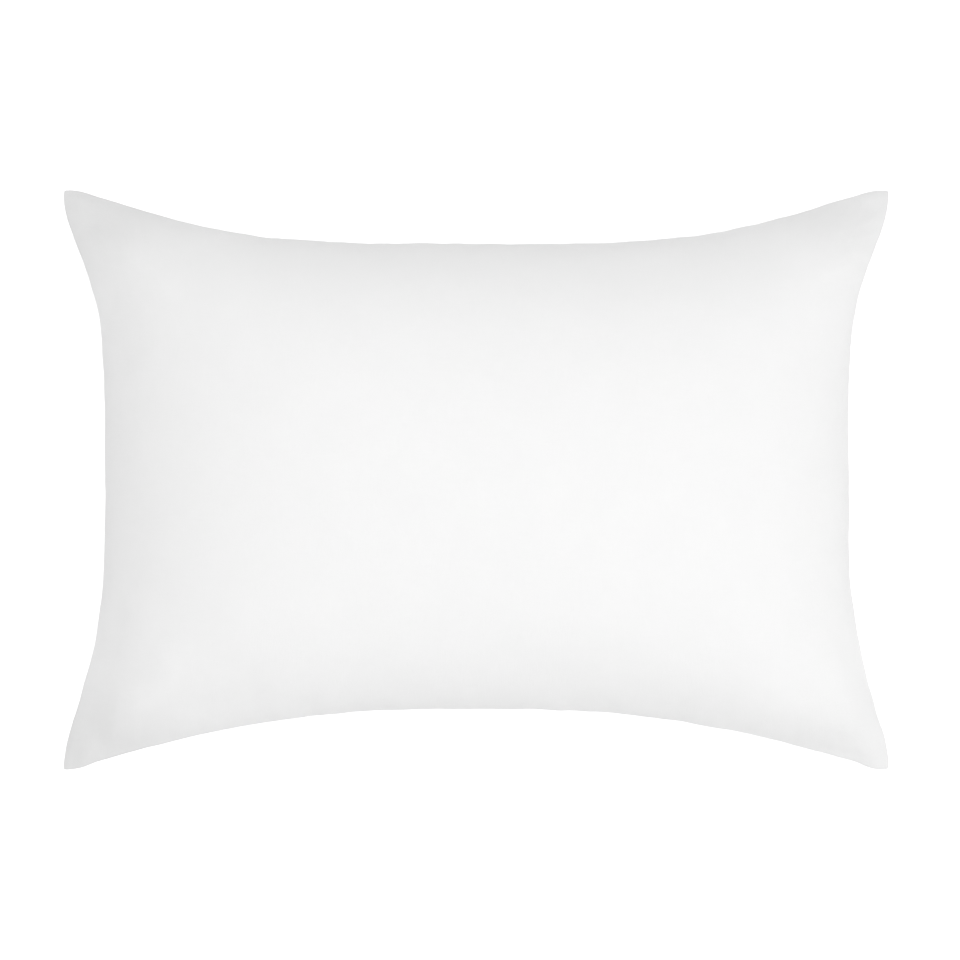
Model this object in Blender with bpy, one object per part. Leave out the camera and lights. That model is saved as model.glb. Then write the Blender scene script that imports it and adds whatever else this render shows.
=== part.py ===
"""A filled pillowcase lying on its back: one filled solid with a crown, drawn-in sides and four ears.

Units are metres. X runs along the case, Y across it and Z up from the surface that it lies on, which
is z = 0. The origin is the middle of the plan, on that surface. The front panel faces up.
"""

import math

import bmesh
import bpy

# The case's flat size, between its seams. Filled, its seams curve in and gather, and its tips stand
# closer together.
FLAT_LENGTH = 0.700
FLAT_WIDTH = 0.500
TIP_SPAN_X = 0.977 * FLAT_LENGTH
TIP_SPAN_Y = 0.960 * FLAT_WIDTH

# A row for each half of a side, from the side's middle to one tip: -1 is the foot or left half, and 1
# the head or right half. Draw-in is how far the middle stands inside the line between the tips. A
# higher straightness keeps the middle stretch straight for longer, and a higher bluntness makes the
# tip squarer.
SIDE_COLUMNS = ("draw_in", "straightness", "bluntness")
SIDE_HALVES = {
    "head": {-1: (0.0447, 3.66, 1.62), 1: (0.0447, 3.73, 1.69)},
    "foot": {-1: (0.0508, 2.52, 1.22), 1: (0.0508, 2.53, 1.23)},
    "left": {-1: (0.0347, 3.35, 1.90), 1: (0.0347, 4.81, 2.51)},
    "right": {-1: (0.0341, 3.40, 1.91), 1: (0.0341, 5.05, 2.70)},
}

# Heights.
SEAM_HEIGHT = 0.077
TIP_HEIGHT = 0.052
SEAM_THICKNESS = 0.0024
CROWN_RISE = 0.101
BACK_DROP = 0.101
FLOOR_KNEE = 0.006

# The part of the back panel that lies level on the surface, as shares of the way from the middle to
# the seams, and how steeply the panel turns up past it at least.
LYING_SHARE_X = 0.63
LYING_SHARE_Y = 0.58
TURN_UP = 0.08

# How a panel rounds over from the seam to its level middle, along the case and across it: the
# higher the breadth, the wider the level middle, and the lower the steepness, the steeper the rim.
# The edge slack keeps the rim off the vertical, so that the two panels meet in a knife edge.
BREADTH_X = 3.7
BREADTH_Y = 3.1
STEEPNESS_X = 0.56
STEEPNESS_Y = 0.53
EDGE_SLACK = 0.05

# The filling doesn't reach into the ears, so they are thinner than the rest, and they droop.
EAR_SLACK = 0.50
EAR_REACH = 6.0
DROOP_REACH = 5.0

# Soft creases of the front panel. A row for each: its two ends, its half-width and its depth, where
# a negative depth is a ridge.
CREASE_COLUMNS = ("from_x", "from_y", "to_x", "to_y", "half_width", "depth")
CREASES = {
    "left_head_ear_side": (-0.308, 0.180, -0.293, 0.106, 0.013, 0.0040),
    "left_head_ear_top": (-0.314, 0.214, -0.236, 0.189, 0.014, 0.0035),
    "left_head_ear_ridge": (-0.293, 0.197, -0.259, 0.160, 0.015, -0.0029),
    "left_side": (-0.291, 0.068, -0.289, -0.077, 0.012, 0.0025),
    "left_foot_ear_side": (-0.319, -0.198, -0.299, -0.116, 0.013, 0.0042),
    "left_foot_ear_foot": (-0.307, -0.218, -0.188, -0.180, 0.014, 0.0042),
    "left_foot_ear_ridge": (-0.301, -0.203, -0.259, -0.154, 0.014, -0.0033),
    "right_head_ear_tip": (0.330, 0.224, 0.324, 0.208, 0.012, 0.0037),
    "right_head_ear_fold": (0.305, 0.228, 0.304, 0.198, 0.009, 0.0027),
    "right_foot_ear_side": (0.316, -0.145, 0.319, -0.189, 0.012, 0.0038),
    "right_foot_ear_foot": (0.228, -0.206, 0.305, -0.225, 0.013, 0.0033),
    "right_foot_ear_ridge": (0.307, -0.181, 0.311, -0.207, 0.010, -0.0025),
    "right_side": (0.301, 0.045, 0.301, 0.016, 0.009, 0.0017),
}

# Broad lumps of the filling under the front panel: middle, reach along X and Y, and rise, where a
# negative rise is a hollow.
LUMP_COLUMNS = ("x", "y", "reach_x", "reach_y", "rise")
LUMPS = {
    "right_of_middle": (0.120, -0.010, 0.145, 0.080, 0.0034),
    "left_shoulder": (-0.175, 0.040, 0.090, 0.078, 0.0022),
    "foot_hollow": (-0.085, -0.116, 0.115, 0.048, -0.0024),
    "head_hollow": (0.038, 0.125, 0.155, 0.043, -0.0020),
}

# Creases and lumps fade in between the seam and this share of the full rise.
RELIEF_STARTS = 0.12

# Mesh.
CELLS_X = 48
CELLS_Y = 34
RIM_CROWDING = 0.82

NODE_NAME = "pillowcase"
CLOTH_COLOUR = (0.905, 0.905, 0.905, 1.0)
CLOTH_ROUGHNESS = 0.82
CLOTH_SHEEN = 0.25


def named(columns, row):
    """A table's row as a dict from column name to value."""
    return dict(zip(columns, row))


def clear_scene():
    for old in list(bpy.data.objects):
        bpy.data.objects.remove(old)


def draw_in(side, along):
    """How far a side stands in from its tips' line, at along, from -1 at one tip to 1 at the other."""
    half = named(SIDE_COLUMNS, SIDE_HALVES[side][-1 if along < 0 else 1])
    share = 1.0 - min(abs(along), 1.0) ** half["straightness"]
    return half["draw_in"] * share ** half["bluntness"]


def plan_point(u, v):
    """The place in plan of cloth coordinates u and v, each from -1 at one seam to 1 at the other."""
    half_x = TIP_SPAN_X / 2 - draw_in("right" if u > 0 else "left", v)
    half_y = TIP_SPAN_Y / 2 - draw_in("head" if v > 0 else "foot", u)
    return u * half_x, v * half_y


def seam_level(u, v):
    """Height of the seam line, carried across the inside, drooping at the ears."""
    corner = (abs(u) * abs(v)) ** DROOP_REACH
    return SEAM_HEIGHT + (TIP_HEIGHT - SEAM_HEIGHT) * corner


def rounding(s, breadth, steepness):
    """Share of the rise at s in one direction, from 0 at the seams, -1 and 1, to 1 in the middle."""
    inside = 1.0 - min(abs(s), 1.0) ** breadth
    seam = EDGE_SLACK**steepness
    return ((inside + EDGE_SLACK) ** steepness - seam) / ((1.0 + EDGE_SLACK) ** steepness - seam)


def fullness(u, v):
    """Share of a panel's full rise, from 0 at the seam to 1 in the middle, less in the ears."""
    along = rounding(u, BREADTH_X, STEEPNESS_X)
    across = rounding(v, BREADTH_Y, STEEPNESS_Y)
    return along * across * (1.0 - EAR_SLACK * (abs(u) * abs(v)) ** EAR_REACH)


def crease_depth(x, y, crease):
    """Depth of one crease at a point in plan: a soft trough along the line between its two ends."""
    run_x = crease["to_x"] - crease["from_x"]
    run_y = crease["to_y"] - crease["from_y"]
    share = ((x - crease["from_x"]) * run_x + (y - crease["from_y"]) * run_y) / (run_x**2 + run_y**2)
    share = min(max(share, 0.0), 1.0)
    away_x = x - crease["from_x"] - share * run_x
    away_y = y - crease["from_y"] - share * run_y
    distance = math.hypot(away_x, away_y)
    return crease["depth"] * math.exp(-((distance / crease["half_width"]) ** 2))


def lump_rise(x, y, lump):
    """Rise of one lump of the filling at a point in plan."""
    away = math.hypot((x - lump["x"]) / lump["reach_x"], (y - lump["y"]) / lump["reach_y"])
    return lump["rise"] * math.exp(-(away**2))


def relief(x, y, share):
    """What creases and lumps add to the front panel's height, fading to nothing at the seam."""
    fade = min(1.0, share / RELIEF_STARTS)
    lumps = sum(lump_rise(x, y, named(LUMP_COLUMNS, row)) for row in LUMPS.values())
    creases = sum(crease_depth(x, y, named(CREASE_COLUMNS, row)) for row in CREASES.values())
    return fade * (lumps - creases)


def settled(height):
    """A height of the back panel after it has met the surface: level there, and curving up from it."""
    if height <= -FLOOR_KNEE:
        return 0.0
    if height >= FLOOR_KNEE:
        return height
    return (height + FLOOR_KNEE) ** 2 / (4 * FLOOR_KNEE)


def turned_up(u, v):
    """The least height of the back panel: none where it lies, and rising steadily past that."""
    past_x = max(0.0, abs(u) - LYING_SHARE_X) * TIP_SPAN_X / 2
    past_y = max(0.0, abs(v) - LYING_SHARE_Y) * TIP_SPAN_Y / 2
    return TURN_UP * math.hypot(past_x, past_y)


def front_point(u, v):
    x, y = plan_point(u, v)
    share = fullness(u, v)
    return x, y, seam_level(u, v) + SEAM_THICKNESS / 2 + CROWN_RISE * share + relief(x, y, share)


def back_point(u, v):
    x, y = plan_point(u, v)
    least = turned_up(u, v)
    height = settled(seam_level(u, v) - SEAM_THICKNESS / 2 - BACK_DROP * fullness(u, v))
    return x, y, max(least, height) if least > 0.0 else 0.0


def crowded(s):
    """A grid coordinate from -1 to 1 moved towards the nearer rim, where the cloth turns fastest."""
    return (1.0 - RIM_CROWDING) * s + RIM_CROWDING * math.sin(s * math.pi / 2)


def add_panel(mesh, surface):
    """A panel as a grid whose points follow the surface. Returns the edges of its rim."""
    made = bmesh.ops.create_grid(mesh, x_segments=CELLS_X, y_segments=CELLS_Y, size=1.0)
    for vertex in made["verts"]:
        vertex.co = surface(crowded(vertex.co.x), crowded(vertex.co.y))
    edges = {edge for vertex in made["verts"] for edge in vertex.link_edges}
    return [edge for edge in edges if edge.is_boundary]


def cloth_material():
    material = bpy.data.materials.new("white_cotton")
    material.use_nodes = True
    shader = material.node_tree.nodes["Principled BSDF"]
    shader.inputs["Base Color"].default_value = CLOTH_COLOUR
    shader.inputs["Roughness"].default_value = CLOTH_ROUGHNESS
    shader.inputs["Sheen Weight"].default_value = CLOTH_SHEEN
    return material


def make_pillowcase():
    """The front and back panels, joined all round by the sewn seam."""
    mesh = bmesh.new()
    rims = add_panel(mesh, front_point) + add_panel(mesh, back_point)
    bmesh.ops.bridge_loops(mesh, edges=rims)
    bmesh.ops.recalc_face_normals(mesh, faces=mesh.faces)
    data = bpy.data.meshes.new(NODE_NAME)
    mesh.to_mesh(data)
    mesh.free()
    data.shade_smooth()
    data.materials.append(cloth_material())
    pillowcase = bpy.data.objects.new(NODE_NAME, data)
    bpy.context.scene.collection.objects.link(pillowcase)
    return pillowcase


clear_scene()
make_pillowcase()
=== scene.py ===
"""A filled white cotton pillowcase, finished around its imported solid, in a plain studio.

Two panels are cut flat, laid on the filled form, sewn together all round, filled, and given the small
puckers of the seam and the weave of pressed cotton. Run as a script, the file makes all of it around
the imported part. Lengths are metres. The case lies on its back on z = 0, with X along its long sides.
"""

import math

import bpy
import numpy as np
from bpy.props import FloatProperty, FloatVectorProperty, IntProperty, PointerProperty
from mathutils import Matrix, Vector, noise


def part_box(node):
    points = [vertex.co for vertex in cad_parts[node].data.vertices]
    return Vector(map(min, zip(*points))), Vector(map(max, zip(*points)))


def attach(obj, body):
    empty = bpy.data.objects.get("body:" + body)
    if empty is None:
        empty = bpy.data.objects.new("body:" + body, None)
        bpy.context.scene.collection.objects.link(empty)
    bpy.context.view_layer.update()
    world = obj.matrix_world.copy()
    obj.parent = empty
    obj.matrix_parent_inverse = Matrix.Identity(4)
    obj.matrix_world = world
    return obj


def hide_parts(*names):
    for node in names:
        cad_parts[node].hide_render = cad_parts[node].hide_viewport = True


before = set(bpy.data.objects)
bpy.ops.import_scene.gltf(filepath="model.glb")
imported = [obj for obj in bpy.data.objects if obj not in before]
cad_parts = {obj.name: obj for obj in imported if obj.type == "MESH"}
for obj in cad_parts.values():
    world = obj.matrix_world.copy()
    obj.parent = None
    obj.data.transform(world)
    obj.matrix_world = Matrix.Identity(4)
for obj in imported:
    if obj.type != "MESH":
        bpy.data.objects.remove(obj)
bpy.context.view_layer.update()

bl_info = {
    "name": "Filled pillowcase",
    "version": (1, 0, 0),
    "blender": (4, 5, 0),
    "location": "3D View > Sidebar > Pillowcase",
    "description": "Cuts, sews, fills and finishes a white cotton pillowcase, and sets a plain studio",
    "category": "Object",
}

CAD_NODE = "pillowcase"
CAD_BODY = "root"
LOWEST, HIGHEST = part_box(CAD_NODE)

# A row for each half of a side, from the side's middle to one tip: -1 is the foot or left half, and 1
# the head or right half. Draw-in is how far the middle stands inside the line between the tips. A
# higher straightness keeps the middle stretch straight for longer, and a higher bluntness makes the
# tip squarer.
SIDE_COLUMNS = ("draw_in", "straightness", "bluntness")
SIDE_HALVES = {
    "head": {-1: (0.0447, 3.66, 1.62), 1: (0.0447, 3.73, 1.69)},
    "foot": {-1: (0.0508, 2.52, 1.22), 1: (0.0508, 2.53, 1.23)},
    "left": {-1: (0.0347, 3.35, 1.90), 1: (0.0347, 4.81, 2.51)},
    "right": {-1: (0.0341, 3.40, 1.91), 1: (0.0341, 5.05, 2.70)},
}

# How a panel rounds over from the seam to its level middle: breadth widens the level middle, a lower
# steepness makes the rim steeper, and the edge slack keeps the rim off the vertical.
BREADTH_X = 3.7
BREADTH_Y = 3.1
STEEPNESS_X = 0.56
STEEPNESS_Y = 0.53
EDGE_SLACK = 0.05

# The filling doesn't reach into the ears: how much flatter that makes them, and how close to their tips
# that and their droop begin, where a higher reach is closer.
EAR_SLACK = 0.50
EAR_REACH = 6.0
DROOP_REACH = 5.0

# Half the height of the bend in which the back leaves the floor, and the share of the full rise from
# which creases and lumps are whole.
FLOOR_KNEE = 0.006
RELIEF_STARTS = 0.05

# The seams of the long sides run straight just before a tip, which squares the tip: the shares of the
# way from the tip to the side's middle at which the straight ends and the curve is whole.
SQUARE_ENDS = 0.012
SQUARE_FADES = 0.085

# Soft creases of the front panel: two ends in plan, half-width and depth, where a negative depth is a
# ridge.
CREASE_COLUMNS = ("from_x", "from_y", "to_x", "to_y", "half_width", "depth")
CREASES = {
    "left_head_ear_side": (-0.308, 0.180, -0.293, 0.106, 0.013, 0.0040),
    "left_head_ear_top": (-0.314, 0.214, -0.236, 0.189, 0.014, 0.0035),
    "left_head_ear_ridge": (-0.293, 0.197, -0.259, 0.160, 0.015, -0.0029),
    "left_side": (-0.291, 0.068, -0.289, -0.077, 0.012, 0.0025),
    "left_foot_ear_side": (-0.319, -0.198, -0.299, -0.116, 0.013, 0.0042),
    "left_foot_ear_foot": (-0.307, -0.218, -0.188, -0.180, 0.014, 0.0042),
    "left_foot_ear_ridge": (-0.301, -0.203, -0.259, -0.154, 0.014, -0.0033),
    "right_head_ear_tip": (0.330, 0.224, 0.324, 0.208, 0.012, 0.0037),
    "right_head_ear_fold": (0.305, 0.228, 0.304, 0.198, 0.009, 0.0027),
    "right_foot_ear_side": (0.316, -0.145, 0.319, -0.189, 0.012, 0.0038),
    "right_foot_ear_foot": (0.228, -0.206, 0.305, -0.225, 0.013, 0.0033),
    "right_foot_ear_ridge": (0.307, -0.181, 0.311, -0.207, 0.010, -0.0025),
    "right_side": (0.301, 0.045, 0.301, 0.016, 0.009, 0.0017),
}

# Broad lumps of the filling: middle, reach along X and Y, and rise, where a negative rise is a hollow.
LUMP_COLUMNS = ("x", "y", "reach_x", "reach_y", "rise")
LUMPS = {
    "right_of_middle": (0.120, -0.010, 0.145, 0.080, 0.0034),
    "left_shoulder": (-0.175, 0.040, 0.090, 0.078, 0.0022),
    "foot_hollow": (-0.085, -0.116, 0.115, 0.048, -0.0024),
    "head_hollow": (0.038, 0.125, 0.155, 0.043, -0.0020),
}

# Cells of a cut panel along X and across, how much of their spacing crowds towards the seam, and the
# points at which the length of a line over the form is measured.
CELLS_X = 126
CELLS_Y = 90
SEAM_CROWDING = 0.60
ARC_SAMPLES = 801

# The sewn edge: what the joining strip's rows between the two panels stand out by, from front to back.
# The rows beside the panels are the two lips, and the middle one is the groove that holds the thread.
SEAM_ROWS = (0.0005, -0.0013, 0.0005)

# The cotton as the cloth simulation takes it.
COTTON_CLOTH = {
    "quality": 6,
    "mass": 0.15,
    "tension_stiffness": 30.0,
    "compression_stiffness": 30.0,
    "shear_stiffness": 10.0,
    "pin_stiffness": 1.0,
}

# A point with less weight than the least stays out of a vertex group, one closer to the seam than
# ON_SEAM is on it, and the last keeps a division off zero for a point that hasn't moved.
LEAST_WEIGHT = 0.01
ON_SEAM = 1e-6
UNMOVED = 1e-9

# Puckers that the thread draws into the cloth beside the seam.
PUCKER_COLUMNS = ("depth", "pitch", "reach", "seed")
PUCKERS = {
    "short": (0.00055, 0.013, 0.009, 11.3),
    "long": (0.00080, 0.031, 0.022, 47.9),
}
# No pucker reaches farther from its seam than the zone. The wander is how fast puckers change away from
# the seam, against along it. They are ridges at one level between narrow, rounded valleys, and the last
# value sets how much of them is there at the seam already.
PUCKER_ZONE = 0.12
PUCKER_WANDER = 0.22
RIDGE_LEVEL = 0.35
VALLEY_DEPTH = 1.6
VALLEY_ROUNDING = 0.004
PUCKER_AT_SEAM = 0.25

# How the seam wavers along its run, up and down and in and out, and how far from it that reaches.
SEAM_WAVE_COLUMNS = ("height", "push", "length", "seed")
SEAM_WAVES = {
    "slow": (0.0016, 0.0004, 0.105, 5.7),
    "quick": (0.0006, 0.0006, 0.037, 71.2),
    "ripple": (0.0002, 0.0005, 0.015, 88.6),
}
SEAM_WAVE_REACH = 0.030

# Slight waves of the whole cloth, square to it.
SURFACE_WAVE_COLUMNS = ("height", "length", "seed")
SURFACE_WAVES = {
    "broad": (0.00060, 0.085, 23.1),
    "small": (0.00022, 0.034, 63.4),
}

# How far apart the noise is read for the front and the back, for one side's seam and the next, and for
# a seam's height and its push, so that no two of them look alike.
PUCKER_FACE_SHIFT = 3.1
PUCKER_SIDE_SHIFT = 9.7
HEIGHT_SIDE_SHIFT = 3.3
PUSH_SIDE_SHIFT = 5.9
PUSH_SHIFT = 40.0
WAVE_FACE_SHIFT = 2.0

# Cloth that lies on the floor is still, and cloth from this height up is free. A panel's side is 1 or
# -1, the seam's groove is 0, and puckers have faded out in the sewn edge where the side is this near 0.
FREE_HEIGHT = 0.006
EDGE_SIDE = 0.6

# Levels of the subdivision that finishes the cloth.
SMOOTH_LEVELS = 1

# The soft lights: the direction that each stands in, its distance, its width and the setting that holds
# its power.
LAMP_COLUMNS = ("x", "y", "z", "distance", "width", "power_setting")
LAMPS = {
    "key_light": (0.060, 0.0, 1.0, 1.2, 0.6, "key_strength"),
    "side_light": (0.886, -0.385, 0.259, 2.4, 1.1, "side_strength"),
}

# Painted shade in the ears: how much darker the cloth's colour is painted at each ear, for the dimmer light
# of thin cloth with no filling behind it, by the ear's side along X and across. It comes in between two
# values of u times v, which is 0 in the middle and 1 at an ear's tip.
EAR_PAINTED_SHADES = {(-1, 1): 0.095, (-1, -1): 0.10, (1, 1): 0.055, (1, -1): 0.04}
EAR_SHADE_STARTS = 0.56
EAR_SHADE_WHOLE = 0.86

# The cotton's make: how fast a slub changes across its thread and along it, the scale and detail of the
# noise that mottles and rumples the cloth, the tones between which it is mottled, as shares of its
# colour, and how far its roughness spreads to each side.
SLUB_ACROSS = 1400.0
SLUB_ALONG = 60.0
SLUB_DETAIL = 1.0
MOTTLE_SCALE = 22.0
MOTTLE_DETAIL = 3.0
RUMPLE_SCALE = 70.0
RUMPLE_DETAIL = 4.0
RUMPLE_ROUGHNESS = 0.55
DARKER_TONE = 0.965
PALER_TONE = 1.03
ROUGHNESS_SPREAD = 0.05
SHEEN_ROUGHNESS = 0.5
COTTON_SPECULAR = 0.3

# The floor's paper.
PAPER_ROUGHNESS = 0.95
PAPER_SPECULAR = 0.1
PAPER_FIBRE_SCALE = 900.0
PAPER_DARKER_TONE = 0.99

BLACK = (0.0, 0.0, 0.0, 1.0)
WHITE = (1.0, 1.0, 1.0, 1.0)

# The stage. The camera looks straight down from far off, through a long lens, so that the frame is this
# wide at the level of the seam and has its middle there in plan.
LENS = 400.0
SENSOR_WIDTH = 36.0
FRAME_WIDTH = 0.7958
FRAME_MIDDLE = (0.0030, 0.0)
VIEW_DEPTH = 100.0
FLOOR_SIZE = 60.0
FLOOR_GAP = 0.0005

# The sockets of a Mix node that hold its two inputs and its result, for each kind of value.
MIX_SOCKETS = {"FLOAT": (2, 3, 0), "RGBA": (6, 7, 2)}


def named(columns, row):
    """A table's row as a dict from column name to value."""
    return dict(zip(columns, row))


# ---- The filled form ----


def smooth_step(value, low, high):
    """0 below low, 1 above high, and a smooth rise between them."""
    share = np.clip((value - low) / (high - low), 0.0, 1.0)
    return share * share * (3.0 - 2.0 * share)


def draw_in(side, along):
    """How far a side stands in from its tips' line, at along, from -1 at one tip to 1 at the other."""
    reach = np.clip(np.abs(along), 0.0, 1.0)
    curves = []
    for half in (-1, 1):
        row = named(SIDE_COLUMNS, SIDE_HALVES[side][half])
        curves.append(row["draw_in"] * (1.0 - reach ** row["straightness"]) ** row["bluntness"])
    squared = smooth_step(1.0 - reach, SQUARE_ENDS, SQUARE_FADES) if side in ("head", "foot") else 1.0
    return np.where(along < 0.0, curves[0], curves[1]) * squared


def plan_point(form, u, v):
    """The place in plan of cloth coordinates u and v, each from -1 at one seam to 1 at the other."""
    half_x = form.tip_span_x / 2 - np.where(u > 0.0, draw_in("right", v), draw_in("left", v))
    half_y = form.tip_span_y / 2 - np.where(v > 0.0, draw_in("head", u), draw_in("foot", u))
    return u * half_x, v * half_y


def seam_level(form, u, v):
    """Height of the seam line, carried across the inside, drooping at the ears."""
    corner = (np.abs(u) * np.abs(v)) ** DROOP_REACH
    return form.seam_height + (form.tip_height - form.seam_height) * corner


def rounding(s, breadth, steepness):
    """Share of the rise at s in one direction, from 0 at the seams, -1 and 1, to 1 in the middle."""
    inside = 1.0 - np.clip(np.abs(s), 0.0, 1.0) ** breadth
    seam = EDGE_SLACK**steepness
    return ((inside + EDGE_SLACK) ** steepness - seam) / ((1.0 + EDGE_SLACK) ** steepness - seam)


def fullness(u, v):
    """Share of a panel's full rise, from 0 at the seam to 1 in the middle, less in the ears."""
    along = rounding(u, BREADTH_X, STEEPNESS_X)
    across = rounding(v, BREADTH_Y, STEEPNESS_Y)
    return along * across * (1.0 - EAR_SLACK * (np.abs(u) * np.abs(v)) ** EAR_REACH)


def crease_depth(x, y, crease):
    """Depth of one crease in plan: a soft trough along the line between its two ends."""
    run_x = crease["to_x"] - crease["from_x"]
    run_y = crease["to_y"] - crease["from_y"]
    share = ((x - crease["from_x"]) * run_x + (y - crease["from_y"]) * run_y) / (run_x**2 + run_y**2)
    share = np.clip(share, 0.0, 1.0)
    away = np.hypot(x - crease["from_x"] - share * run_x, y - crease["from_y"] - share * run_y)
    return crease["depth"] * np.exp(-((away / crease["half_width"]) ** 2))


def lump_rise(x, y, lump):
    """Rise of one lump of the filling in plan."""
    away = np.hypot((x - lump["x"]) / lump["reach_x"], (y - lump["y"]) / lump["reach_y"])
    return lump["rise"] * np.exp(-(away**2))


def relief(x, y, share):
    """What creases and lumps add to the front panel's height, fading to nothing at the seam."""
    lumps = sum(lump_rise(x, y, named(LUMP_COLUMNS, row)) for row in LUMPS.values())
    creases = sum(crease_depth(x, y, named(CREASE_COLUMNS, row)) for row in CREASES.values())
    return np.minimum(1.0, share / RELIEF_STARTS) * (lumps - creases)


def settled(height):
    """A height of the back panel after it has met the floor: level there, and curving up from it."""
    knee = (height + FLOOR_KNEE) ** 2 / (4 * FLOOR_KNEE)
    return np.where(height <= -FLOOR_KNEE, 0.0, np.where(height >= FLOOR_KNEE, height, knee))


def front_surface(form, u, v):
    """The front panel's points at cloth coordinates u and v."""
    x, y = plan_point(form, u, v)
    share = fullness(u, v)
    z = seam_level(form, u, v) + form.seam_thickness / 2 + form.crown_rise * share
    return np.stack([x, y, z + relief(x, y, share)], axis=-1)


def back_surface(form, u, v):
    """The back panel's points at cloth coordinates u and v."""
    x, y = plan_point(form, u, v)
    z = seam_level(form, u, v) - form.seam_thickness / 2 - form.back_drop * fullness(u, v)
    return np.stack([x, y, settled(z)], axis=-1)


def cloth_shares(cells):
    """Where a panel's grid lines lie along it, from 0 to 1, crowding towards both seams."""
    even = np.linspace(-1.0, 1.0, cells + 1)
    crowded = (1.0 - SEAM_CROWDING) * even + SEAM_CROWDING * np.sin(even * math.pi / 2)
    return (crowded + 1.0) / 2


def at_arc_shares(lines, shares, coordinate):
    """For each line of points, the coordinate at which each share of the line's length is reached."""
    found = []
    for steps in np.linalg.norm(np.diff(lines, axis=1), axis=2):
        length = np.concatenate([[0.0], np.cumsum(steps)])
        found.append(np.interp(shares, length / length[-1], coordinate))
    return np.array(found)


def laid_points(form, surface):
    """A panel's points on the filled form, row by row, so spaced that the cloth isn't stretched."""
    fine = np.sin(np.linspace(-math.pi / 2, math.pi / 2, ARC_SAMPLES))
    shares_x, shares_y = cloth_shares(CELLS_X), cloth_shares(CELLS_Y)
    middle = np.zeros_like(fine)
    u_middle = at_arc_shares(surface(form, fine, middle)[None], shares_x, fine)[0]
    v_middle = at_arc_shares(surface(form, middle, fine)[None], shares_y, fine)[0]
    rows = surface(form, np.broadcast_to(fine, (CELLS_Y + 1, ARC_SAMPLES)), v_middle[:, None])
    columns = surface(form, u_middle[:, None], np.broadcast_to(fine, (CELLS_X + 1, ARC_SAMPLES)))
    u = at_arc_shares(rows, shares_x, fine)
    v = at_arc_shares(columns, shares_y, fine).T
    return surface(form, u, v)


# ---- Working on a piece ----


def put_down_all():
    """Nothing stays selected, so that the next operator acts only on what it is given."""
    if bpy.context.object and bpy.context.object.mode != "OBJECT":
        bpy.ops.object.mode_set(mode="OBJECT")
    bpy.ops.object.select_all(action="DESELECT")


def take_up(*pieces):
    """Selects the pieces, the first as the active one."""
    put_down_all()
    for piece in pieces:
        piece.select_set(True)
    bpy.context.view_layer.objects.active = pieces[0]


def vectors(items, name):
    """The named vector of each item of a mesh, as an array with a row for each."""
    found = np.empty(len(items) * 3)
    items.foreach_get(name, found)
    return found.reshape(-1, 3)


def places(piece):
    """Where a piece's points are."""
    return vectors(piece.data.vertices, "co")


def move_to(piece, points):
    piece.data.vertices.foreach_set("co", np.ascontiguousarray(points).ravel())
    piece.data.update()


def cloth_places(piece):
    """Each point's place on the flat cloth, along X and Y, and 1 for the front to -1 for the back."""
    return vectors(piece.data.attributes["cloth"].data, "vector")


def apply_modifier(piece, modifier):
    take_up(piece)
    bpy.ops.object.modifier_apply(modifier=modifier.name)


# ---- Cutting and sewing ----


def cut_panel(name, form, front):
    """A flat panel of the cut size, its grid along the threads."""
    put_down_all()
    bpy.ops.mesh.primitive_grid_add(x_subdivisions=CELLS_X, y_subdivisions=CELLS_Y, size=1.0)
    panel = bpy.context.object
    panel.name = name
    panel.data.uv_layers[0].name = "threads"
    across, along = np.meshgrid(cloth_shares(CELLS_Y) - 0.5, cloth_shares(CELLS_X) - 0.5, indexing="ij")
    side = np.full(across.shape, 1.0 if front else -1.0)
    flat = np.stack([along * form.flat_length, across * form.flat_width, side], axis=-1)
    cloth = panel.data.attributes.new("cloth", "FLOAT_VECTOR", "POINT")
    cloth.data.foreach_set("vector", flat.ravel())
    move_to(panel, flat * (1.0, 1.0, form.seam_thickness / 2))
    if not front:
        bpy.ops.object.mode_set(mode="EDIT")
        bpy.ops.mesh.select_all(action="SELECT")
        bpy.ops.mesh.flip_normals()
        bpy.ops.object.mode_set(mode="OBJECT")
    return panel


def seam_outward(points):
    """For each seam point, in plan, the direction out of the case, square to the seam beside it."""
    run = np.roll(points, -1, axis=0) - np.roll(points, 1, axis=0)
    out = np.stack([run[:, 1], -run[:, 0]], axis=-1)
    return out / np.linalg.norm(out, axis=1, keepdims=True)


def rim_points():
    """The numbers of a panel's rim points in order round it, anticlockwise from above."""
    row = CELLS_X + 1
    foot = list(range(CELLS_X))
    right = [j * row + CELLS_X for j in range(CELLS_Y)]
    head = [CELLS_Y * row + i for i in range(CELLS_X, 0, -1)]
    left = [j * row for j in range(CELLS_Y, 0, -1)]
    return foot + right + head + left


def join_rims(front, back):
    """Makes the two panels one piece, with a strip of even rows between their rims."""
    take_up(front, back)
    bpy.ops.object.join()
    bpy.ops.object.mode_set(mode="EDIT")
    bpy.ops.mesh.select_mode(type="EDGE")
    bpy.ops.mesh.select_all(action="DESELECT")
    bpy.ops.mesh.select_non_manifold(extend=False, use_wire=False, use_multi_face=False, use_verts=False)
    bpy.ops.mesh.bridge_edge_loops(number_cuts=len(SEAM_ROWS), interpolation="LINEAR")
    bpy.ops.object.mode_set(mode="OBJECT")


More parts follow.
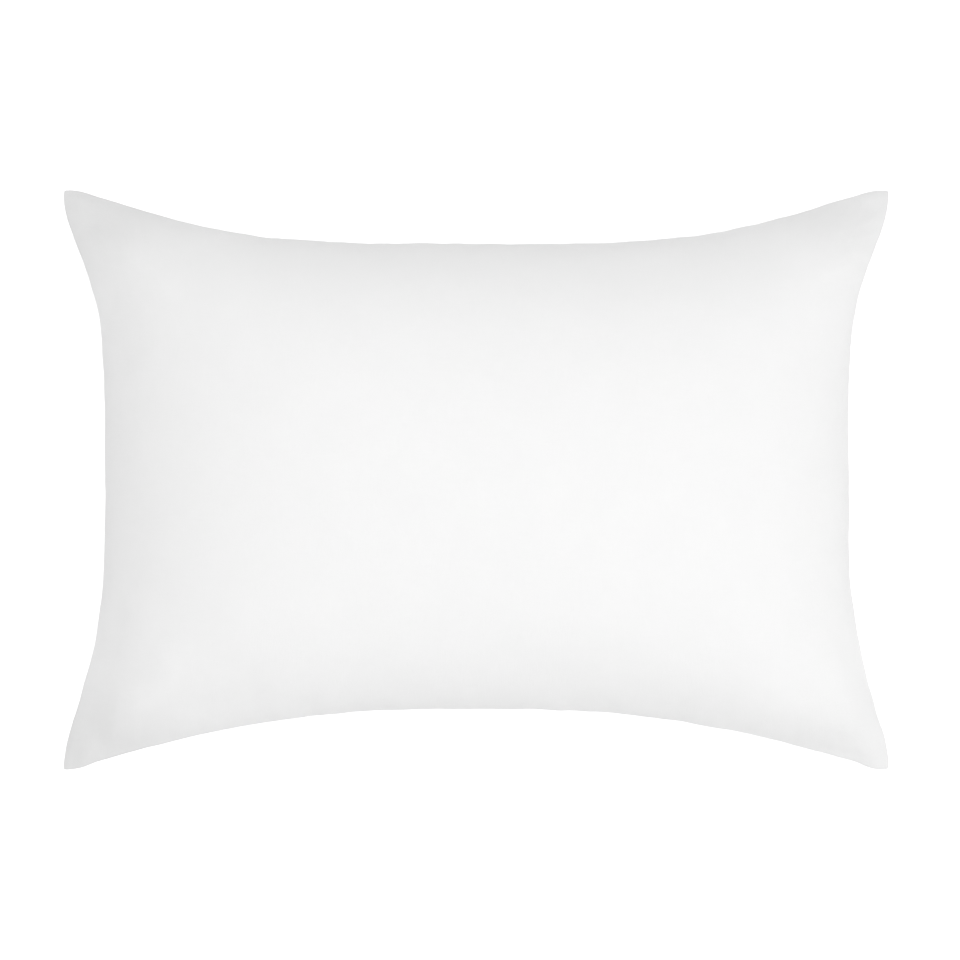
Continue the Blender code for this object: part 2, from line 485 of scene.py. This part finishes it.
def sew(front, back, form):
    """Joins the two panels by a narrow strip all round, with two lips and a groove along it."""
    count = len(front.data.vertices)
    join_rims(front, back)
    points = places(front)
    cloth = cloth_places(front)
    rim = np.array(rim_points())
    outward = seam_outward(points[rim, :2])
    new = np.arange(2 * count, len(points))
    if len(new) != len(SEAM_ROWS) * len(rim):
        raise RuntimeError("the two panels' rims were not joined point to point")
    away = np.linalg.norm(points[new, None, :2] - points[None, rim, :2], axis=2)
    nearest = away.argmin(axis=1)
    top = points[rim[nearest], 2]
    bottom = points[rim[nearest] + count, 2]
    depth = (top - points[new, 2]) / (top - bottom)
    row = np.rint(depth * (len(SEAM_ROWS) + 1)).astype(int) - 1
    points[new, :2] = points[rim[nearest], :2] + outward[nearest] * np.array(SEAM_ROWS)[row, None]
    move_to(front, points)
    cloth[new] = cloth[rim[nearest]]
    cloth[new, 2] = 1.0 - 2.0 * (row + 1) / (len(SEAM_ROWS) + 1)
    front.data.attributes["cloth"].data.foreach_set("vector", cloth.ravel())
    lay_threads(front, form, rim, outward, nearest, count)
    return front


def lay_threads(piece, form, rim, outward, nearest, count):
    """Gives the thread map, in metres on the flat cloth, which runs on past the seam over the strip."""
    mesh = piece.data
    cloth = cloth_places(piece)
    corners = np.empty(len(mesh.loops), dtype=int)
    mesh.loops.foreach_get("vertex_index", corners)
    sizes = np.empty(len(mesh.polygons), dtype=int)
    mesh.polygons.foreach_get("loop_total", sizes)
    face = np.repeat(np.arange(len(sizes)), sizes)
    strip_point = corners >= 2 * count
    strip_face = np.zeros(len(sizes), dtype=bool)
    strip_face[face[strip_point]] = True
    out = np.zeros((len(cloth), 2))
    out[rim] = out[rim + count] = outward
    out[2 * count:] = outward[nearest]
    past = (1.0 - cloth[:, 2]) / 2 * form.seam_thickness
    flat = cloth[corners, :2] + out[corners] * past[corners, None] * strip_face[face, None]
    mesh.uv_layers["threads"].data.foreach_set("uv", flat.ravel())


# ---- Filling ----


def seam_distance(form, cloth):
    """How far each point of the flat cloth lies from the nearest seam."""
    from_ends = form.flat_length / 2 - np.abs(cloth[:, 0])
    from_sides = form.flat_width / 2 - np.abs(cloth[:, 1])
    return np.minimum(from_ends, from_sides)


def weigh(piece, name, weights):
    """Makes a vertex group of the points whose weight counts."""
    group = piece.vertex_groups.new(name=name)
    for index in np.nonzero(weights > LEAST_WEIGHT)[0]:
        group.add([int(index)], float(weights[index]), "REPLACE")


def cloth_modifier(piece, filling):
    """The cloth simulation of the case, with the filling's pressure in it."""
    modifier = piece.modifiers.new("Filling", "CLOTH")
    settings = modifier.settings
    for name, value in COTTON_CLOTH.items():
        setattr(settings, name, value)
    settings.bending_stiffness = filling.cloth_stiffness
    settings.vertex_group_mass = "held"
    settings.vertex_group_shrink = "eased"
    settings.shrink_min = 0.0
    settings.shrink_max = -filling.ease
    settings.use_pressure = True
    settings.uniform_pressure_force = filling.pressure
    settings.effector_weights.gravity = 0.0
    modifier.collision_settings.use_collision = False
    modifier.point_cache.frame_start = 1
    modifier.point_cache.frame_end = filling.steps
    return modifier


def fill(piece, form, filling):
    """Presses the filling against the cloth, which is held at its seam and where it lies flat."""
    start = places(piece)
    cloth = cloth_places(piece)
    distance = seam_distance(form, cloth)
    held = (np.abs(cloth[:, 2]) < 1.0) | (distance < ON_SEAM) | (start[:, 2] < filling.floor_hold)
    weigh(piece, "held", held.astype(float))
    weigh(piece, "eased", np.exp(-((distance / filling.ease_reach) ** 2)))
    take_up(piece)
    modifier = cloth_modifier(piece, filling)
    for step in range(1, filling.steps + 1):
        bpy.context.scene.frame_set(step)
    apply_modifier(piece, modifier)
    bpy.context.scene.frame_set(1)
    piece.vertex_groups.clear()
    moved = places(piece) - start
    far = np.linalg.norm(moved, axis=1, keepdims=True)
    points = start + moved * np.minimum(1.0, filling.most_move / np.maximum(far, UNMOVED))
    points[:, 2] = np.maximum(points[:, 2], 0.0)
    move_to(piece, points)


# ---- The seam's puckers and the cloth's slight waves ----


def waves(along, across, length, seed):
    """Smooth noise over the cloth, a value for each point."""
    return np.array([
        noise.noise(Vector((a / length, b / length, seed)))
        for a, b in zip(along.tolist(), across.tolist())
    ])


def seam_sides(form, cloth):
    """For each side, the way out of the case, and each point's place along it and distance from it."""
    x, y = cloth[:, 0], cloth[:, 1]
    yield (0.0, -1.0), x, form.flat_width / 2 + y
    yield (0.0, 1.0), x, form.flat_width / 2 - y
    yield (-1.0, 0.0), y, form.flat_length / 2 + x
    yield (1.0, 0.0), y, form.flat_length / 2 - x


def pucker_rise(along, away, side, number):
    """What the puckers beside one seam add square to the cloth, at places along and away from it."""
    rise = np.zeros_like(along)
    for row in PUCKERS.values():
        kind = named(PUCKER_COLUMNS, row)
        seed = kind["seed"] + PUCKER_SIDE_SHIFT * number
        field = waves(along, away * PUCKER_WANDER + side * PUCKER_FACE_SHIFT, kind["pitch"], seed)
        folds = RIDGE_LEVEL - np.sqrt(field**2 + VALLEY_ROUNDING) * VALLEY_DEPTH
        grow = (PUCKER_AT_SEAM + away / kind["reach"]) * np.exp(1.0 - away / kind["reach"])
        rise += kind["depth"] * folds * grow
    return rise


def seam_sway(along, away, out, number):
    """How far one seam's wavering moves the cloth, up and down and in and out, fading away from it."""
    up_side = np.full_like(along, number * HEIGHT_SIDE_SHIFT)
    push_side = np.full_like(along, number * PUSH_SIDE_SHIFT)
    sway = np.zeros((len(along), 3))
    for row in SEAM_WAVES.values():
        wave = named(SEAM_WAVE_COLUMNS, row)
        up = wave["height"] * waves(along, up_side, wave["length"], wave["seed"])
        push = wave["push"] * waves(along, push_side, wave["length"], wave["seed"] + PUSH_SHIFT)
        sway += np.stack([push * out[0], push * out[1], up], axis=-1)
    return sway * np.exp(-((away / SEAM_WAVE_REACH) ** 2))[:, None]


def pucker(piece, form):
    """Draws the cloth into small puckers beside the seam, and lets the seam and the cloth waver."""
    points = places(piece)
    cloth = cloth_places(piece)
    rise = np.zeros(len(points))
    sway = np.zeros((len(points), 3))
    for number, (out, along, away) in enumerate(seam_sides(form, cloth)):
        near = away < PUCKER_ZONE
        rise[near] += pucker_rise(along[near], away[near], np.sign(cloth[near, 2]), number)
        sway[near] += seam_sway(along[near], away[near], out, number)
    across = cloth[:, 1] + cloth[:, 2] * WAVE_FACE_SHIFT
    for row in SURFACE_WAVES.values():
        wave = named(SURFACE_WAVE_COLUMNS, row)
        rise += wave["height"] * waves(cloth[:, 0], across, wave["length"], wave["seed"])
    free = np.clip(points[:, 2] / FREE_HEIGHT, 0.0, 1.0)
    on_panel = np.clip((np.abs(cloth[:, 2]) - EDGE_SIDE) / (1.0 - EDGE_SIDE), 0.0, 1.0)
    points += vectors(piece.data.vertices, "normal") * (rise * free * on_panel)[:, None]
    points += sway * free[:, None] * form.seam_sway
    points[:, 2] = np.maximum(points[:, 2], 0.0)
    move_to(piece, points)


def paint_ear_shade(piece, form):
    """Notes on each point how much painted shade darkens the cloth's colour there, in the ears."""
    cloth = cloth_places(piece)
    u, v = cloth[:, 0] * 2 / form.flat_length, cloth[:, 1] * 2 / form.flat_width
    near_corner = smooth_step(np.abs(u * v), EAR_SHADE_STARTS, EAR_SHADE_WHOLE)
    painted_shade = np.zeros(len(cloth))
    for (right, head), most in EAR_PAINTED_SHADES.items():
        here = (u * right > 0.0) & (v * head > 0.0)
        painted_shade[here] = most * near_corner[here]
    # The painted ear shade is kept on the points, and the cotton material darkens its base colour by it.
    note = piece.data.attributes.new("unbacked", "FLOAT", "POINT")
    note.data.foreach_set("value", painted_shade)


def subdivide(piece):
    modifier = piece.modifiers.new("Smooth cloth", "SUBSURF")
    modifier.levels = SMOOTH_LEVELS
    modifier.render_levels = SMOOTH_LEVELS
    apply_modifier(piece, modifier)


# ---- Materials ----


def feed(tree, node, inputs):
    """Links a node's inputs, by name or number, to other nodes' outputs, or sets their values."""
    for key, value in inputs.items():
        if isinstance(value, bpy.types.NodeSocket):
            tree.links.new(value, node.inputs[key])
        else:
            node.inputs[key].default_value = value


def add_node(tree, kind, inputs, **settings):
    """A node with its settings made and its inputs fed."""
    node = tree.nodes.new(kind)
    for name, value in settings.items():
        setattr(node, name, value)
    feed(tree, node, inputs)
    return node


def math_node(tree, operation, *values):
    """A Math node of sockets and numbers. Returns its output."""
    return add_node(tree, "ShaderNodeMath", dict(enumerate(values)), operation=operation).outputs[0]


def noise_node(tree, vector, **inputs):
    """Smooth noise at a vector, with its other inputs by name. Returns its output."""
    return add_node(tree, "ShaderNodeTexNoise", {"Vector": vector, **inputs}).outputs[0]


def mix_node(tree, kind, factor, first, second):
    """A Mix node from first to second, each a socket or a value. Returns its output."""
    first_socket, second_socket, result = MIX_SOCKETS[kind]
    inputs = {0: factor, first_socket: first, second_socket: second}
    return add_node(tree, "ShaderNodeMix", inputs, data_type=kind).outputs[result]


def bump_node(tree, height, distance, **inputs):
    """Raises a surface by the distance where the height is 1. Returns the normal."""
    given = {"Height": height, "Distance": distance, "Strength": 1.0, **inputs}
    return add_node(tree, "ShaderNodeBump", given).outputs[0]


def tint(colour, share=1.0):
    """A share of a colour, no brighter than white, with its alpha."""
    return [min(1.0, part * share) for part in colour] + [1.0]


def new_material(name):
    """A new material, with its nodes and its shader."""
    material = bpy.data.materials.new(name)
    material.use_nodes = True
    return material, material.node_tree, material.node_tree.nodes["Principled BSDF"]


def plain_weave_group():
    """Plain weave: threads that pass over and under each other, thicker here and there."""
    group = bpy.data.node_groups.new("Plain weave", "ShaderNodeTree")
    interface = group.interface
    interface.new_socket("Cloth", in_out="INPUT", socket_type="NodeSocketVector")
    interface.new_socket("Threads per metre", in_out="INPUT", socket_type="NodeSocketFloat")
    interface.new_socket("Height", in_out="OUTPUT", socket_type="NodeSocketFloat")
    interface.new_socket("Tone", in_out="OUTPUT", socket_type="NodeSocketFloat")
    start = group.nodes.new("NodeGroupInput")
    end = group.nodes.new("NodeGroupOutput")
    cloth = start.outputs["Cloth"]

    in_threads = {0: cloth, "Scale": start.outputs["Threads per metre"]}
    counted = add_node(group, "ShaderNodeVectorMath", in_threads, operation="SCALE")
    split = add_node(group, "ShaderNodeSeparateXYZ", {0: counted.outputs[0]})
    warp = math_node(group, "SINE", math_node(group, "MULTIPLY", split.outputs[0], math.pi))
    weft = math_node(group, "SINE", math_node(group, "MULTIPLY", split.outputs[1], math.pi))
    weft_over = math_node(group, "MULTIPLY_ADD", math_node(group, "MULTIPLY", warp, weft), 0.5, 0.5)
    warp_round = math_node(group, "ABSOLUTE", warp)
    weft_round = math_node(group, "ABSOLUTE", weft)
    thread_height = mix_node(group, "FLOAT", weft_over, warp_round, weft_round)

    slubs = []
    for stretch in ((SLUB_ACROSS, SLUB_ALONG, 1.0), (SLUB_ALONG, SLUB_ACROSS, 1.0)):
        mapping = add_node(group, "ShaderNodeMapping", {"Vector": cloth, "Scale": stretch})
        slubs.append(noise_node(group, mapping.outputs[0], Scale=1.0, Detail=SLUB_DETAIL))
    slub_sum = math_node(group, "ADD", *slubs)
    feed(group, end, {
        "Height": math_node(group, "ADD", thread_height, slub_sum),
        "Tone": math_node(group, "MULTIPLY", slub_sum, 0.5),
    })
    return group


def cotton_material(finish):
    """White cotton, pressed smooth: its weave, soft slubs, slightly uneven whiteness and a faint sheen,
    with painted shade darkening its colour in the ears.
    """
    material, tree, shader = new_material("white_cotton_cloth")
    cloth = add_node(tree, "ShaderNodeUVMap", {}, uv_map="threads").outputs[0]
    weave_inputs = {"Cloth": cloth, "Threads per metre": 1.0 / finish.thread_pitch}
    weave = add_node(tree, "ShaderNodeGroup", weave_inputs, node_tree=plain_weave_group())
    # Painted shade: how much the colour is darkened in the ears, read from the case's points.
    unbacked = add_node(tree, "ShaderNodeAttribute", {}, attribute_name="unbacked")

    mottle = noise_node(tree, cloth, Scale=MOTTLE_SCALE, Detail=MOTTLE_DETAIL)
    tone = math_node(tree, "ADD", weave.outputs["Tone"], mottle)
    tone = math_node(tree, "MULTIPLY", tone, 0.5)
    darker, paler = tint(finish.colour, DARKER_TONE), tint(finish.colour, PALER_TONE)
    colour = mix_node(tree, "RGBA", tone, darker, paler)
    rough = add_node(tree, "ShaderNodeMapRange", {
        "Value": tone,
        "To Min": finish.roughness - ROUGHNESS_SPREAD,
        "To Max": finish.roughness + ROUGHNESS_SPREAD,
    })

    rumple = noise_node(
        tree, cloth, Scale=RUMPLE_SCALE, Detail=RUMPLE_DETAIL, Roughness=RUMPLE_ROUGHNESS)
    rumpled = bump_node(tree, rumple, finish.rumple_depth)
    feed(tree, shader, {
        # Painted shade: the base colour is mixed toward black by the ears' painted shade.
        "Base Color": mix_node(tree, "RGBA", unbacked.outputs["Fac"], colour, BLACK),
        "Roughness": rough.outputs[0],
        "Normal": bump_node(tree, weave.outputs["Height"], finish.weave_depth, Normal=rumpled),
        "Sheen Weight": finish.sheen,
        "Sheen Roughness": SHEEN_ROUGHNESS,
        "Specular IOR Level": COTTON_SPECULAR,
    })
    return material


def floor_material(studio):
    """Pale matt paper that looks a little brighter than it is lit, so that it clears to white."""
    material, tree, shader = new_material("pale_paper")
    place = tree.nodes.new("ShaderNodeTexCoord")
    fibre = noise_node(tree, place.outputs["Object"], Scale=PAPER_FIBRE_SCALE)
    darker, paler = tint(studio.floor_colour, PAPER_DARKER_TONE), tint(studio.floor_colour)
    path = tree.nodes.new("ShaderNodeLightPath")
    glow = [studio.floor_glow] * 3 + [1.0]
    feed(tree, shader, {
        "Base Color": mix_node(tree, "RGBA", fibre, darker, paler),
        "Roughness": PAPER_ROUGHNESS,
        "Specular IOR Level": PAPER_SPECULAR,
        "Emission Color": mix_node(tree, "RGBA", path.outputs["Is Camera Ray"], BLACK, glow),
        "Emission Strength": 1.0,
    })
    return material


def studio_world(studio):
    """Even white light from all round, which the viewer sees as plain white."""
    world = bpy.data.worlds.new("studio_air")
    world.use_nodes = True
    tree = world.node_tree
    path = tree.nodes.new("ShaderNodeLightPath")
    feed(tree, tree.nodes["Background"], {
        "Color": WHITE,
        "Strength": mix_node(tree, "FLOAT", path.outputs["Is Camera Ray"], studio.fill_strength, 1.0),
    })
    bpy.context.scene.world = world


# ---- The stage ----


def add_floor(studio):
    """A wide floor, a hair below the case."""
    bpy.ops.mesh.primitive_plane_add(size=FLOOR_SIZE)
    floor = bpy.context.object
    floor.name = "floor"
    for point in floor.data.vertices:
        point.co.z = -FLOOR_GAP
    floor.data.materials.append(floor_material(studio))


def add_lamp(name, lamp, power):
    """A soft round light that faces the middle of the case."""
    toward = Vector((lamp["x"], lamp["y"], lamp["z"])).normalized()
    bpy.ops.object.light_add(type="AREA", location=toward * lamp["distance"])
    light = bpy.context.object
    light.name = name
    light.rotation_euler = (-toward).to_track_quat("-Z", "Y").to_euler()
    light.data.energy = power
    light.data.shape = "DISK"
    light.data.size = lamp["width"]
    light.visible_camera = False


def add_camera(form):
    """The camera, straight over the case."""
    height = (form.seam_height + form.tip_height) / 2 + FRAME_WIDTH * LENS / SENSOR_WIDTH
    bpy.ops.object.camera_add(location=(*FRAME_MIDDLE, height), rotation=(0.0, 0.0, 0.0))
    camera = bpy.context.object
    camera.name = "camera"
    camera.data.lens = LENS
    camera.data.sensor_width = SENSOR_WIDTH
    camera.data.clip_end = VIEW_DEPTH
    bpy.context.scene.camera = camera


# ---- What a user may change ----


class CaseForm(bpy.types.PropertyGroup):
    """The case's sizes, flat and filled"""

    flat_length: FloatProperty(
        name="Flat length", description="Length of a panel between its seams, before it is filled",
        default=0.700, min=0.2, max=1.2, unit="LENGTH", precision=3)
    flat_width: FloatProperty(
        name="Flat width", description="Width of a panel between its seams, before it is filled",
        default=0.500, min=0.2, max=1.0, unit="LENGTH", precision=3)
    tip_span_x: FloatProperty(
        name="Tip span, long side", description="Distance between the tips of two ears along a long side",
        default=HIGHEST.x - LOWEST.x, min=0.2, max=1.2, unit="LENGTH", precision=3)
    tip_span_y: FloatProperty(
        name="Tip span, short side", description="Distance between the tips of two ears along a short side",
        default=HIGHEST.y - LOWEST.y, min=0.2, max=1.0, unit="LENGTH", precision=3)
    seam_height: FloatProperty(
        name="Seam height", description="Height of the seam over the floor along the middles of the sides",
        default=0.077, min=0.02, max=0.2, unit="LENGTH", precision=3)
    tip_height: FloatProperty(
        name="Tip height", description="Height of the tips of the ears over the floor",
        default=0.052, min=0.0, max=0.2, unit="LENGTH", precision=3)
    seam_thickness: FloatProperty(
        name="Seam thickness", description="Thickness of the sewn edge",
        default=0.0024, min=0.001, max=0.01, unit="LENGTH", precision=4)
    crown_rise: FloatProperty(
        name="Crown rise", description="How far the front panel rises over the seam",
        default=0.1005, min=0.01, max=0.2, unit="LENGTH", precision=3)
    back_drop: FloatProperty(
        name="Back drop", description="How far the back panel would hang below the seam, off the floor",
        default=0.101, min=0.01, max=0.2, unit="LENGTH", precision=3)
    seam_sway: FloatProperty(
        name="Seam sway", description="How much the seam wavers along its run",
        default=1.0, min=0.0, max=3.0, subtype="FACTOR")


class CaseFilling(bpy.types.PropertyGroup):
    """How the filling is pressed into the cloth"""

    pressure: FloatProperty(
        name="Pressure", description="Pressure of the filling on the cloth",
        default=4.0, min=0.0, max=20.0)
    steps: IntProperty(
        name="Steps", description="Steps of the cloth simulation",
        default=20, min=2, max=60)
    cloth_stiffness: FloatProperty(
        name="Cloth stiffness", description="Resistance of the cloth to bending",
        default=2.0, min=0.0, max=20.0)
    ease: FloatProperty(
        name="Ease", description="Share by which the cloth is let out beside the seam, where it gathers",
        default=0.010, min=0.0, max=0.1, subtype="FACTOR")
    ease_reach: FloatProperty(
        name="Ease reach", description="How far from the seam the ease reaches",
        default=0.050, min=0.005, max=0.2, unit="LENGTH")
    most_move: FloatProperty(
        name="Most movement", description="The most that the filling may move a point of the cloth",
        default=0.004, min=0.0, max=0.03, unit="LENGTH", precision=4)
    floor_hold: FloatProperty(
        name="Floor hold", description="Cloth lower than this lies on the floor and stays there",
        default=0.0005, min=0.0, max=0.01, unit="LENGTH", precision=4)


class CaseFinish(bpy.types.PropertyGroup):
    """The cotton's colour and finish"""

    colour: FloatVectorProperty(
        name="Cloth colour", description="Colour of the cotton",
        default=(0.905, 0.905, 0.905), size=3, min=0.0, max=1.0, subtype="COLOR")
    roughness: FloatProperty(
        name="Roughness", description="Middle of the cloth's roughness",
        default=0.82, min=0.1, max=0.95, subtype="FACTOR")
    sheen: FloatProperty(
        name="Sheen", description="Soft light that the fibres catch at a grazing angle",
        default=0.15, min=0.0, max=1.0, subtype="FACTOR")
    thread_pitch: FloatProperty(
        name="Thread pitch", description="Distance from one thread to the next",
        default=0.00038, min=0.0001, max=0.003, unit="LENGTH", precision=5)
    weave_depth: FloatProperty(
        name="Weave depth", description="Height of a thread over the gap beside it",
        default=0.00007, min=0.0, max=0.001, unit="LENGTH", precision=5)
    rumple_depth: FloatProperty(
        name="Rumple depth", description="Height of the pressed cloth's slight unevenness",
        default=0.00020, min=0.0, max=0.002, unit="LENGTH", precision=5)


class CaseStudio(bpy.types.PropertyGroup):
    """The floor and the light"""

    floor_colour: FloatVectorProperty(
        name="Floor colour", description="Colour of the floor",
        default=(0.80, 0.80, 0.80), size=3, min=0.0, max=1.0, subtype="COLOR")
    floor_glow: FloatProperty(
        name="Floor glow", description="How much brighter the floor looks than its light makes it",
        default=0.64, min=0.0, max=2.0)
    key_strength: FloatProperty(
        name="Key light", description="Power of the soft light over the case",
        default=2.1, min=0.0, max=500.0, unit="POWER")
    side_strength: FloatProperty(
        name="Side light", description="Power of the soft light beside the case",
        default=6.2, min=0.0, max=500.0, unit="POWER")
    fill_strength: FloatProperty(
        name="Fill light", description="Strength of the even light from all round",
        default=0.878, min=0.0, max=5.0)


# ---- Operators and panel ----


class PILLOWCASE_OT_make_case(bpy.types.Operator):
    """Cuts, lays, sews, fills and finishes the case, and puts it in its solid's place"""

    bl_idname = "pillowcase.make_case"
    bl_label = "Make the filled case"

    def execute(self, context):
        form = context.scene.case_form
        front = cut_panel("filled_case", form, front=True)
        back = cut_panel("back_panel", form, front=False)
        move_to(front, laid_points(form, front_surface).reshape(-1, 3))
        move_to(back, laid_points(form, back_surface).reshape(-1, 3))
        case = sew(front, back, form)
        fill(case, form, context.scene.case_filling)
        subdivide(case)
        paint_ear_shade(case, form)
        pucker(case, form)
        case.data.shade_smooth()
        case.data.materials.append(cotton_material(context.scene.case_finish))
        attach(case, CAD_BODY)
        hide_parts(CAD_NODE)
        return {"FINISHED"}


class PILLOWCASE_OT_set_stage(bpy.types.Operator):
    """Sets the pale floor, the soft lights and the camera straight over the case"""

    bl_idname = "pillowcase.set_stage"
    bl_label = "Set the studio"

    def execute(self, context):
        studio = context.scene.case_studio
        put_down_all()
        add_floor(studio)
        studio_world(studio)
        for name, row in LAMPS.items():
            lamp = named(LAMP_COLUMNS, row)
            add_lamp(name, lamp, getattr(studio, lamp["power_setting"]))
        add_camera(context.scene.case_form)
        context.scene.view_settings.view_transform = "Standard"
        return {"FINISHED"}


class PILLOWCASE_PT_sidebar(bpy.types.Panel):
    """The case's sizes, finish and studio, with a button for each step"""

    bl_label = "Filled pillowcase"
    bl_idname = "PILLOWCASE_PT_sidebar"
    bl_space_type = "VIEW_3D"
    bl_region_type = "UI"
    bl_category = "Pillowcase"

    def draw(self, context):
        scene = context.scene
        for title, group in (
            ("Case", scene.case_form),
            ("Filling", scene.case_filling),
            ("Cotton", scene.case_finish),
        ):
            self.draw_group(title, group)
        self.layout.operator(PILLOWCASE_OT_make_case.bl_idname)
        self.draw_group("Studio", scene.case_studio)
        self.layout.operator(PILLOWCASE_OT_set_stage.bl_idname)

    def draw_group(self, title, group):
        box = self.layout.box()
        box.label(text=title)
        for name in group.__annotations__:
            box.prop(group, name)


SETTINGS = {
    "case_form": CaseForm,
    "case_filling": CaseFilling,
    "case_finish": CaseFinish,
    "case_studio": CaseStudio,
}
CLASSES = (*SETTINGS.values(), PILLOWCASE_OT_make_case, PILLOWCASE_OT_set_stage, PILLOWCASE_PT_sidebar)


def register():
    for kind in CLASSES:
        bpy.utils.register_class(kind)
    for name, kind in SETTINGS.items():
        setattr(bpy.types.Scene, name, PointerProperty(type=kind))


def unregister():
    for name in SETTINGS:
        delattr(bpy.types.Scene, name)
    for kind in reversed(CLASSES):
        bpy.utils.unregister_class(kind)


def main():
    register()
    bpy.ops.pillowcase.make_case()
    bpy.ops.pillowcase.set_stage()


if __name__ == "__main__":
    main()
